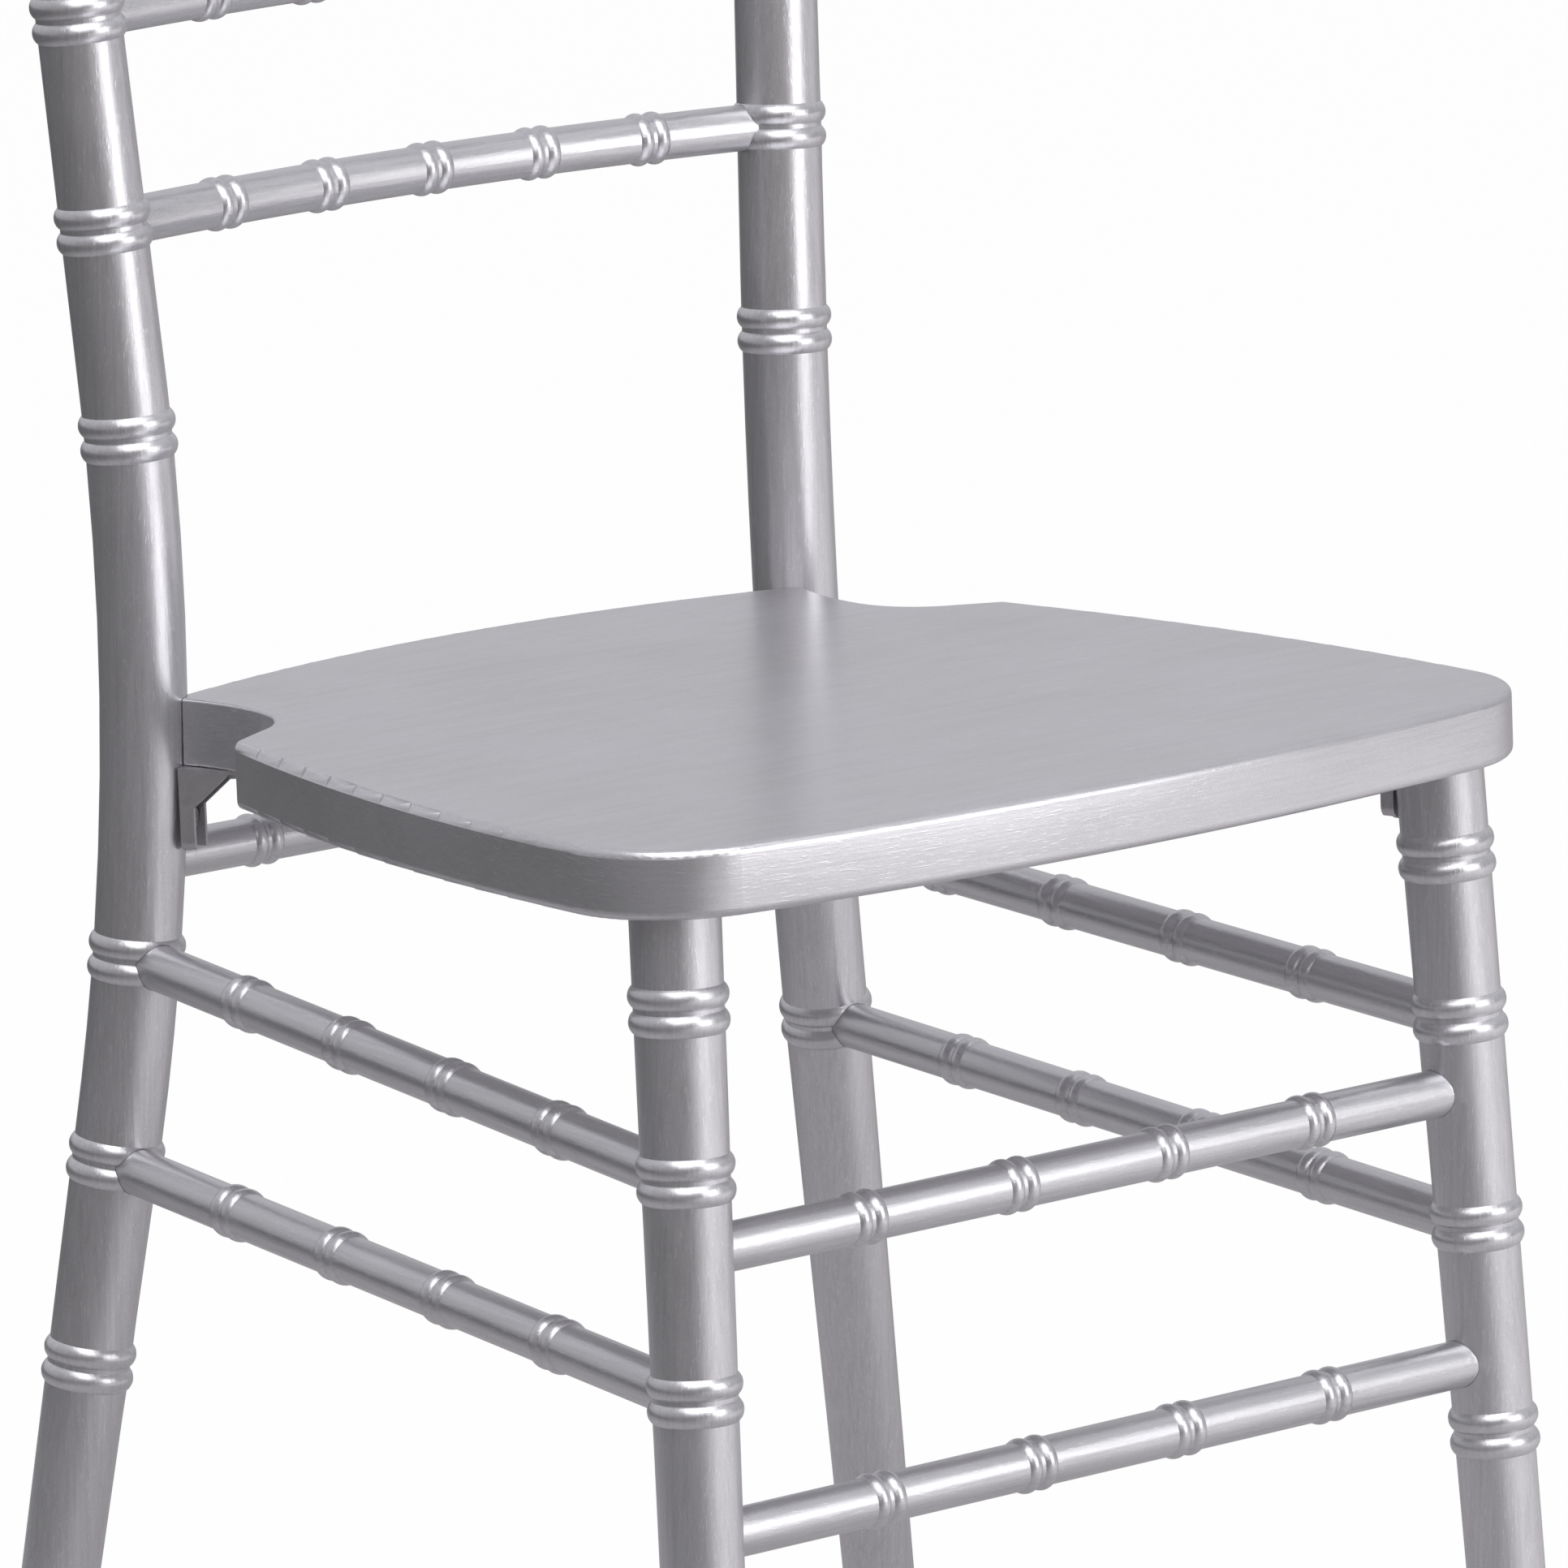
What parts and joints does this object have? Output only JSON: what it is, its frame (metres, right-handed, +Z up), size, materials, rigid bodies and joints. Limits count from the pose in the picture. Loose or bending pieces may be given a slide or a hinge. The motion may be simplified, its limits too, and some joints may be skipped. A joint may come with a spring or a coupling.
{
  "type": "chiavari chair",
  "caption": "Slim armless dining chair in silver painted wood with turned bamboo-style rings, a flat seat, splayed legs and a spindle back.",
  "frame": {"origin": "on the floor under the middle of the chair's bounding box", "axes": "+Z up, -Y towards the front edge of the seat, +X towards the chair's right-hand side as seen from the front"},
  "size_m": [0.428, 0.4725, 0.914],
  "materials": {
    "painted_wood": "satin silver lacquer",
    "painted_seat": "satin silver lacquer",
    "painted_brace": "satin silver paint",
    "screw_steel": "zinc",
    "glide_plastic": "matte"
  },
  "bodies": {
    "root": {"seat_panel": "painted_seat", "front_leg_left": "painted_wood", "front_leg_right": "painted_wood", "back_post_left": "painted_wood", "back_post_right": "painted_wood", "front_rung_upper": "painted_wood", "front_rung_lower": "painted_wood", "side_rung_upper_left": "painted_wood", "side_rung_upper_right": "painted_wood", "side_rung_lower_left": "painted_wood", "side_rung_lower_right": "painted_wood", "rear_rung": "painted_wood", "back_rung_lower": "painted_wood", "back_rung_upper": "painted_wood", "spindle_rail": "painted_wood", "crest_rail": "painted_wood", "spindle_1": "painted_wood", "spindle_2": "painted_wood", "spindle_3": "painted_wood", "spindle_4": "painted_wood", "spindle_5": "painted_wood", "spindle_6": "painted_wood", "brace_back_left": "painted_brace", "brace_back_right": "painted_brace", "brace_front_left": "painted_brace", "brace_front_right": "painted_brace", "brace_screws": "screw_steel", "glide_front_left": "glide_plastic", "glide_front_right": "glide_plastic", "glide_back_left": "glide_plastic", "glide_back_right": "glide_plastic"}
  },
  "joints": []
}
